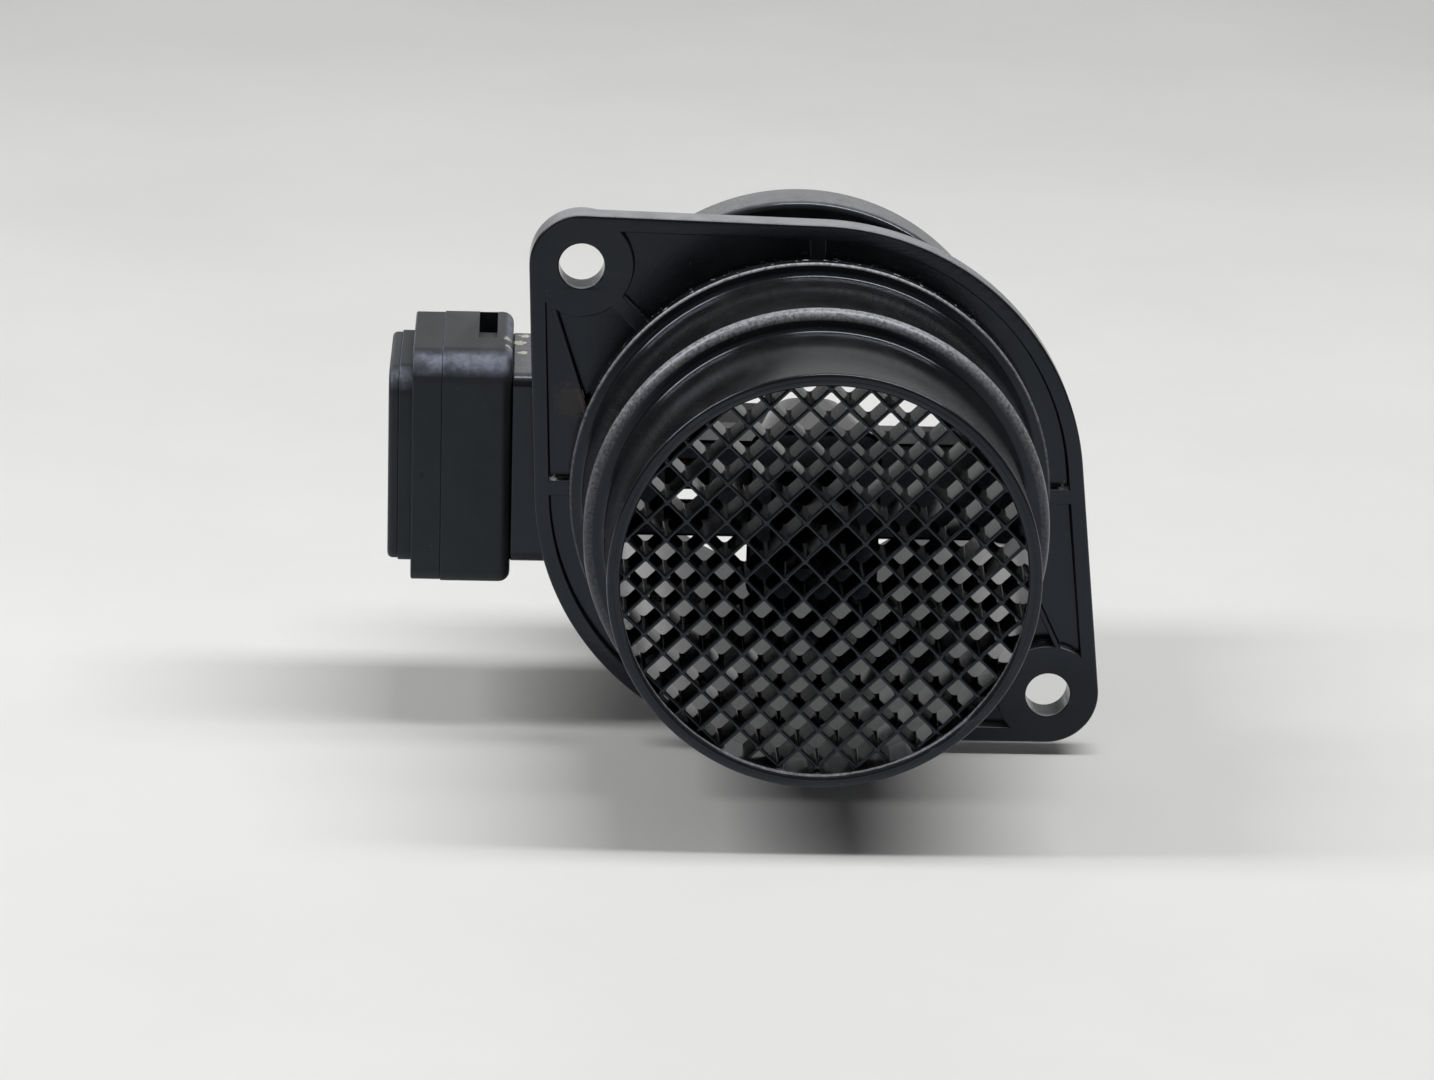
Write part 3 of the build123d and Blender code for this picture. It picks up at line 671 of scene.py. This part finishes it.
def module_body():
    """Body with its connector socket and latch slot, plug, and probe tray."""
    outline = rectangle(BODY, shares=MODULE_SHARES)
    body = extruded("module_housing_moulding", outline, "X", BODY_X, SEAT_X, BODY_LIPS)
    socket = extruded("socket", rectangle(SOCKET, (SOCKET_X, 0), 6), "Y", SOCKET_FLOOR, MODULE_BACK + PAST)
    body = combined(body, [socket] + latch_cuts(), "DIFFERENCE")
    return combined(body, plug() + [tray()])


def probe_cover():
    plan = probe_plan(PLUG_END)
    plate = extruded("probe_cover_moulding", plan, "Z", TRAY_TOP, PROBE_HEIGHT / 2, PROBE_COVER_LIPS)
    return combined(plate, [thermistor_notch()], "DIFFERENCE")


def chamber_frame():
    outline = rectangle(FRAME, shares=MODULE_SHARES)
    wide = extruded("chamber_frame_moulding", outline, "X", FRAME_X, BODY_X, FRAME_LIPS)
    outline = rectangle(COLLAR, shares=MODULE_SHARES)
    collar = extruded("collar", outline, "X", COLLAR_X, FRAME_X + COLLAR_SUNK, COLLAR_LIPS)
    chamber = extruded("chamber", rectangle(CHAMBER), "X", COLLAR_X - PAST, BODY_X + PAST)
    return combined(combined(wide, [collar]), [chamber], "DIFFERENCE")


def chamber_cover():
    outline = rectangle(COVER, shares=MODULE_SHARES)
    return extruded("chamber_cover_moulding", outline, "X", COVER_X, COLLAR_X, COVER_LIPS)


# ---- node graphs ----
class Graph:
    """Short calls for building a material's nodes."""

    def __init__(self, name):
        self.material = bpy.data.materials.new(name)
        self.material.use_nodes = True
        self.tree = self.material.node_tree
        self.shader = self.tree.nodes["Principled BSDF"]
        self.place = self.tree.nodes.new("ShaderNodeTexCoord").outputs["Object"]

    def node(self, kind, **settings):
        made = self.tree.nodes.new(kind)
        for key, value in settings.items():
            setattr(made, key, value)
        return made

    def wire(self, source, target):
        self.tree.links.new(source, target)

    def noise(self, scale, detail=4.0, roughness=0.55, stretch=(1, 1, 1)):
        """Noise from 0 to 1 whose features are about 1000 / scale millimetres wide."""
        mapping = self.node("ShaderNodeMapping")
        mapping.inputs["Scale"].default_value = stretch
        self.wire(self.place, mapping.inputs["Vector"])
        made = self.node("ShaderNodeTexNoise")
        made.inputs["Scale"].default_value = scale
        made.inputs["Detail"].default_value = detail
        made.inputs["Roughness"].default_value = roughness
        self.wire(mapping.outputs["Vector"], made.inputs["Vector"])
        return made.outputs["Fac"]

    def ramp(self, source, low, high, to_low=0.0, to_high=1.0):
        """Source from low to high, mapped to to_low to to_high and held there."""
        made = self.node("ShaderNodeMapRange")
        made.clamp = True
        for key, value in (("From Min", low), ("From Max", high), ("To Min", to_low), ("To Max", to_high)):
            made.inputs[key].default_value = value
        self.wire(source, made.inputs["Value"])
        return made.outputs["Result"]

    def math(self, operation, first, second):
        made = self.node("ShaderNodeMath", operation=operation)
        for index, value in enumerate((first, second)):
            if isinstance(value, (int, float)):
                made.inputs[index].default_value = value
            else:
                self.wire(value, made.inputs[index])
        return made.outputs[0]

    def plus(self, first, second):
        return self.math("ADD", first, second)

    def times(self, first, second):
        return self.math("MULTIPLY", first, second)

    def most(self, first, second):
        return self.math("MAXIMUM", first, second)

    def mix(self, amount, first, second):
        made = self.node("ShaderNodeMix", data_type="RGBA")
        if isinstance(amount, (int, float)):
            made.inputs["Factor"].default_value = amount
        else:
            self.wire(amount, made.inputs["Factor"])
        for key, value in (("A", first), ("B", second)):
            socket = [s for s in made.inputs if s.name == key and s.type == "RGBA"][0]
            if isinstance(value, tuple):
                socket.default_value = (*value, 1)
            else:
                self.wire(value, socket)
        return [s for s in made.outputs if s.type == "RGBA"][0]

    def axis(self, name):
        made = self.node("ShaderNodeSeparateXYZ")
        self.wire(self.place, made.inputs[0])
        return made.outputs[name]

    def radius(self):
        """Distance from the duct's axis, in metres."""
        x, z = self.axis("X"), self.axis("Z")
        return self.math("SQRT", self.plus(self.times(x, x), self.times(z, z)), 0)

    def facing(self, name):
        """How far the surface looks along an axis, from -1 to 1."""
        made = self.node("ShaderNodeSeparateXYZ")
        self.wire(self.node("ShaderNodeNewGeometry").outputs["Normal"], made.inputs[0])
        return made.outputs[name]

    def edges(self):
        """About 0.5 on flat surfaces and more on convex edges."""
        return self.node("ShaderNodeNewGeometry").outputs["Pointiness"]

    def bump(self, height, strength, distance):
        made = self.node("ShaderNodeBump")
        made.inputs["Strength"].default_value = strength
        made.inputs["Distance"].default_value = distance
        self.wire(height, made.inputs["Height"])
        return made.outputs["Normal"]


# pale tone of edge wear and of painted highlights
WEAR_AND_HIGHLIGHT_TONE = (0.52, 0.53, 0.56)
# bluish tone of the painted highlight on upward-leaning slopes
SHEEN_TONE = (0.19, 0.2, 0.26)
SEALANT = (0.5, 0.48, 0.4)
BROWN = (0.045, 0.028, 0.014)
# pale tone of painted glints
PAINTED_GLINT = (0.75, 0.76, 0.78)
BLACK = (0.004, 0.004, 0.005)
PLASTIC_IOR = 1.48
PLASTIC_SHEEN = (0.7, 0.78, 0.93, 1)
GRAIN_HEIGHT = 0.00005    # in metres

# Each patch has its place and radius, in millimetres, and its colour.
DUCT_SPOTS = (
    ((-44.2, 34.6, 15.4), 0.9, SEALANT),
    ((-44.5, 32.2, 15.4), 0.9, SEALANT),
    ((-45.4, 28.2, 15.4), 1.1, SEALANT),
    ((-44.8, 22.4, 15.4), 0.8, SEALANT),
    ((-37.2, 1.2, 13.6), 2.9, BROWN),
    # painted glints in pocket corners and at rib ends
    ((-35.0, 1.0, 15.2), 0.8, PAINTED_GLINT),
    ((-26.0, 1.0, 28.9), 0.7, PAINTED_GLINT),
    ((37.6, 2.5, -24.5), 0.7, PAINTED_GLINT),
    ((-39.8, 1.2, 1.2), 0.8, PAINTED_GLINT),
    ((39.6, 1.2, 1.4), 0.8, PAINTED_GLINT))
MODULE_SPOTS = (
    ((-46.9, 19.4, 18.7), 0.9, SEALANT),
    ((-46.7, 15.0, 18.4), 0.8, SEALANT),
    ((-58.1, 8.5, 17.0), 0.5, BLACK),
    ((-55.0, 8.5, 17.1), 0.5, BLACK),
    ((-60.2, 8.5, -0.9), 0.5, BLACK))

# Each painted highlight band along a rounded edge has its radius, distance along the axis and width, in
# millimetres, and its strength.
DUCT_HIGHLIGHT_BANDS = ((SEAT_R - 0.5, SHOULDER_Y + 0.5, 0.9, 0.8), (HUB_R, HUB_Y, 0.35, 1.0))
GRID_HIGHLIGHT_BANDS = ((BORE_R, INLET_Y + 0.6, 0.22, 0.9),)


def close_to(g, source, value, width):
    """1 where the source is within the width of the value, both in millimetres, fading to 0 beyond."""
    distance = g.math("ABSOLUTE", g.math("SUBTRACT", source, MM * value), 0)
    return g.ramp(distance, MM * width, 1.3 * MM * width, 1, 0)


def ring_band(g, radius, along, width):
    """1 near the ring with this radius and distance along the duct's axis, and 0 elsewhere."""
    return g.times(close_to(g, g.radius(), radius, width), close_to(g, g.axis("Y"), along, width))


def spotted(g, color, spots):
    """Adds small ragged patches of other colours."""
    ragged = g.ramp(g.noise(1500, 4, 0.6), 0.3, 0.7, -0.5, 0.5)
    for place, radius, other in spots:
        offset_by = g.node("ShaderNodeVectorMath", operation="DISTANCE")
        g.wire(g.place, offset_by.inputs[0])
        offset_by.inputs[1].default_value = [MM * c for c in place]
        distance = g.math("DIVIDE", offset_by.outputs["Value"], MM * radius)
        color = g.mix(g.ramp(g.plus(distance, ragged), 0.8, 1.05, 1, 0), color, other)
    return color


def add_dust_and_top_light(g, film, settled_dust_and_top_light):
    """Amount of dust and painted top light: a cloudy film everywhere, patches on faces that look up that are
    partly settled dust and partly painted top light, and fine specks.
    """
    cloud = g.ramp(g.noise(55, 6, 0.62), 0.42, 0.72)
    patches = g.ramp(g.noise(190, 6, 0.65), 0.3, 0.8)
    specks = g.ramp(g.noise(1100, 2, 0.5), 0.74, 0.78)
    # partly settled dust and partly painted top light on faces that look up
    upward_dust_and_light = g.ramp(g.facing("Z"), 0.25, 1.0, 0, settled_dust_and_top_light)
    amount = g.plus(g.times(cloud, film), g.times(upward_dust_and_light, patches))
    return g.plus(amount, g.times(specks, 0.3))


def add_wear_and_highlights(g, edge_wear_and_highlight, highlight_bands):
    """Pale edge marks, partly wear on convex edges and partly painted highlights in bands around the axis,
    all strongest where they look up as painted top light.
    """
    wear_and_highlight = g.times(g.ramp(g.edges(), 0.52, 0.58), edge_wear_and_highlight)
    for radius, along, width, strength in highlight_bands:
        wear_and_highlight = g.most(wear_and_highlight, g.times(ring_band(g, radius, along, width), strength))
    wear_and_highlight = g.times(wear_and_highlight, g.ramp(g.noise(1800, 6, 0.75), 0.35, 0.65, 0.2, 1))
    # painted top light: the marks fade on faces that do not look up
    return g.times(wear_and_highlight, g.ramp(g.facing("Z"), 0, 0.8, 0.12, 1))


def add_painted_rim_light(g, wear_and_highlight, strength):
    """Adds painted top light as pale upper rims of the flange and the hose bead, and flecks on the raised
    ring.
    """
    beyond = g.ramp(g.radius(), MM * (HUB_R + 1), MM * (HUB_R + 5.5))
    beyond = g.times(beyond, g.ramp(g.axis("Y"), MM * 7, MM * 9, 1, 0.3))
    behind = g.ramp(g.axis("Y"), MM * BEAD_Y, MM * (BEAD_Y + 1), 0, 0.6)
    above = g.times(g.ramp(g.facing("Z"), 0.5, 0.95, 0, strength), g.most(beyond, behind))
    wear_and_highlight = g.most(wear_and_highlight, g.times(above, g.ramp(g.noise(260, 5, 0.7), 0.25, 0.65, 0.55, 1)))
    flecks = g.times(ring_band(g, HUB_R, 0.5, 1.6), g.ramp(g.noise(900, 3, 0.6), 0.62, 0.66))
    return g.most(wear_and_highlight, g.times(flecks, g.ramp(g.facing("Z"), 0.3, 0.8, 0, 0.8)))


def add_painted_sheen_on_slopes(g, tone, strength):
    """Adds a painted bluish highlight on faces that lean upwards, as on the module's rounded upper edges."""
    slope = g.times(g.ramp(g.facing("Z"), 0.25, 0.55), g.ramp(g.facing("Z"), 0.85, 0.98, 1, 0))
    patches = g.ramp(g.noise(330, 5, 0.7), 0.38, 0.62, 0.2 * strength, strength)
    return g.mix(g.times(slope, patches), tone, SHEEN_TONE)


def moulded_plastic(name, color, dust_and_top_light_tone, roughness, grain,
                    film=0.05, settled_dust_and_top_light=0.1, edge_wear_and_highlight=0.25, highlight_bands=(), spots=(), slope_sheen=0, rim_light=0):
    """Dark moulded plastic with dust, worn edges and patches, and painted light: top light on upward faces,
    highlights on edges and glints.
    """
    g = Graph(name)
    amount = add_dust_and_top_light(g, film, settled_dust_and_top_light)
    wear_and_highlight = add_wear_and_highlights(g, edge_wear_and_highlight, highlight_bands)
    if rim_light:
        wear_and_highlight = add_painted_rim_light(g, wear_and_highlight, rim_light)
    tone = spotted(g, g.mix(wear_and_highlight, g.mix(amount, color, dust_and_top_light_tone), WEAR_AND_HIGHLIGHT_TONE), spots)
    g.wire(add_painted_sheen_on_slopes(g, tone, slope_sheen), g.shader.inputs["Base Color"])
    smears = g.ramp(g.noise(120, 5, 0.6, (1, 0.3, 1)), 0.45, 0.75, 0, 0.08)
    rough = g.plus(g.times(g.plus(amount, wear_and_highlight), 0.35), g.plus(smears, roughness))
    g.wire(rough, g.shader.inputs["Roughness"])
    g.shader.inputs["IOR"].default_value = PLASTIC_IOR
    g.shader.inputs["Specular Tint"].default_value = PLASTIC_SHEEN
    height = g.plus(g.noise(2600, 3, 0.6), g.times(g.noise(420, 3, 0.5), 0.8))
    g.wire(g.bump(height, grain, GRAIN_HEIGHT), g.shader.inputs["Normal"])
    return g.material


def plain(name, color, roughness, metallic):
    """Rubber, metal, glass or laminate, slightly uneven in tone and roughness."""
    g = Graph(name)
    tone = g.ramp(g.noise(700, 4), 0.3, 0.7)
    g.wire(g.mix(tone, tuple(0.85 * c for c in color), color), g.shader.inputs["Base Color"])
    g.wire(g.ramp(tone, 0, 1, roughness - 0.06, roughness + 0.08), g.shader.inputs["Roughness"])
    g.shader.inputs["Metallic"].default_value = metallic
    return g.material


# the module's upward faces take a strong dust tone, partly as painted top light
MODULE_LOOK = {
    "color": (0.012, 0.0135, 0.015), "dust_and_top_light_tone": (0.13, 0.135, 0.14), "roughness": 0.42, "grain": 0.5,
    "settled_dust_and_top_light": 0.2, "edge_wear_and_highlight": 0.08, "spots": MODULE_SPOTS, "slope_sheen": 0.8}
MOULDED = {
    "duct_plastic": {
        "color": (0.003, 0.0033, 0.0042), "dust_and_top_light_tone": (0.17, 0.172, 0.18), "roughness": 0.14, "grain": 0.15,
        "highlight_bands": DUCT_HIGHLIGHT_BANDS, "spots": DUCT_SPOTS, "rim_light": 0.55},
    "grid_plastic": {
        "color": (0.003, 0.0033, 0.0042), "dust_and_top_light_tone": (0.12, 0.122, 0.125), "roughness": 0.09, "grain": 0.05,
        "film": 0.02, "highlight_bands": GRID_HIGHLIGHT_BANDS},
    "module_plastic": MODULE_LOOK,
    "frame_plastic": MODULE_LOOK,
    "cover_plastic": {
        "color": (0.011, 0.012, 0.014), "dust_and_top_light_tone": (0.12, 0.125, 0.13), "roughness": 0.4, "grain": 0.4,
        "settled_dust_and_top_light": 0.2, "edge_wear_and_highlight": 0.08, "slope_sheen": 0.3}}
PLAIN = {                 # colour, roughness, metallic
    "seal_rubber": ((0.12, 0.03, 0.02), 0.5, 0.0),
    "heat_sink_metal": ((0.75, 0.76, 0.78), 0.35, 1.0),
    "board_laminate": ((0.02, 0.12, 0.05), 0.35, 0.0),
    "chip_plastic": ((0.02, 0.02, 0.02), 0.55, 0.0),
    "capacitor_ceramic": ((0.42, 0.28, 0.16), 0.4, 0.0),
    "terminal_metal": ((0.72, 0.70, 0.64), 0.28, 1.0),
    "sensor_glass": ((0.55, 0.58, 0.56), 0.1, 0.0),
    "thermistor_glass": ((0.3, 0.1, 0.04), 0.1, 0.0)}
MATERIALS = {name: moulded_plastic(name, **look) for name, look in MOULDED.items()}
MATERIALS.update({name: plain(name, *look) for name, look in PLAIN.items()})
SLOT_OF = {entry["node"]: entry["material_slot"] for entry in frame["record"]["subparts"]}


def smooth(piece):
    """Smooth shading with crisp corners, and flat faces that stay flat."""
    for face in piece.data.polygons:
        face.use_smooth = True
    piece.data.set_sharp_from_angle(angle=math.radians(SHARP_ANGLE))
    weights = piece.modifiers.new("weights", "WEIGHTED_NORMAL")
    weights.keep_sharp = True
    weights.weight = NORMAL_WEIGHT


def stand_for(piece, node):
    """Shows the piece in place of its CAD node, in that node's material."""
    smooth(piece)
    piece.data.materials.clear()
    piece.data.materials.append(MATERIALS[SLOT_OF[node]])
    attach(piece, "root")
    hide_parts(node)


def dress_nodes():
    makers = {"duct_housing": duct, "inlet_grid": grid, "measuring_nozzle": measuring_nozzle,
              "module_housing": module_body, "probe_cover": probe_cover,
              "chamber_frame": chamber_frame, "chamber_cover": chamber_cover}
    for node, maker in makers.items():
        stand_for(maker(), node)
    for name, node in frame["nodes"].items():
        if name not in makers:
            node.data.materials.clear()
            node.data.materials.append(MATERIALS[SLOT_OF[name]])


def add_camera():
    camera = link("camera", bpy.data.cameras.new("camera"))
    axes = Matrix((CAMERA_RIGHT, CAMERA_UP, CAMERA_BACK)).transposed()
    camera.matrix_world = Matrix.Translation(CAMERA_PLACE) @ axes.to_quaternion().to_matrix().to_4x4()
    camera.data.lens = LENS
    camera.data.sensor_width = SENSOR
    bpy.context.scene.camera = camera


def add_floor():
    """Pale floor that sweeps up into a backdrop, which stands behind the camera in a view from the back."""
    g = Graph("floor")
    tone = g.ramp(g.noise(9, 5, 0.6), 0.3, 0.7)
    g.wire(g.mix(tone, *FLOOR_TONES), g.shader.inputs["Base Color"])
    g.shader.inputs["Roughness"].default_value = FLOOR_ROUGHNESS
    low = cad_bounds[0][2]
    profile = [(-FLOOR_REACH, low)]
    for step in range(SWEEP_STEPS + 1):
        y, z = polar(SWEEP_R, -90 + 90 * step / SWEEP_STEPS)
        profile.append((BACKDROP_Y - SWEEP_R + y, low + SWEEP_R + z))
    profile.append((BACKDROP_Y, low + FLOOR_REACH))
    points = [(x, y, z) for y, z in profile for x in (-FLOOR_REACH, FLOOR_REACH)]
    faces = [(2 * k, 2 * k + 1, 2 * k + 3, 2 * k + 2) for k in range(len(profile) - 1)]
    mesh = bpy.data.meshes.new("floor")
    mesh.from_pydata(points, [], faces)
    for face in mesh.polygons:
        face.use_smooth = True
    floor = link("floor", mesh)
    mesh.materials.append(g.material)


def add_lamp(name, degrees, size, power):
    """Area lamp that shines on the part from a direction measured from +X towards +Z."""
    data = bpy.data.lights.new(name, "AREA")
    data.shape = "RECTANGLE"
    data.size, data.size_y = size
    data.energy = power
    lamp = link(name, data)
    x, z = polar(LAMP_DISTANCE, degrees)
    lamp.location = (x, LAMP_Y, z)
    lamp.rotation_euler = (Matrix.Rotation(math.radians(90 - degrees), 3, "Y")).to_euler()


def add_world():
    world = bpy.data.worlds.new("world")
    bpy.context.scene.world = world
    world.use_nodes = True
    background = world.node_tree.nodes["Background"]
    background.inputs["Color"].default_value = (WORLD_GREY, WORLD_GREY, WORLD_GREY, 1)
    background.inputs["Strength"].default_value = WORLD_STRENGTH


dress_nodes()
add_camera()
add_floor()
for lamp_name, setting in LAMPS.items():
    add_lamp(lamp_name, *setting)
add_world()
bpy.context.scene.view_settings.view_transform = "Standard"
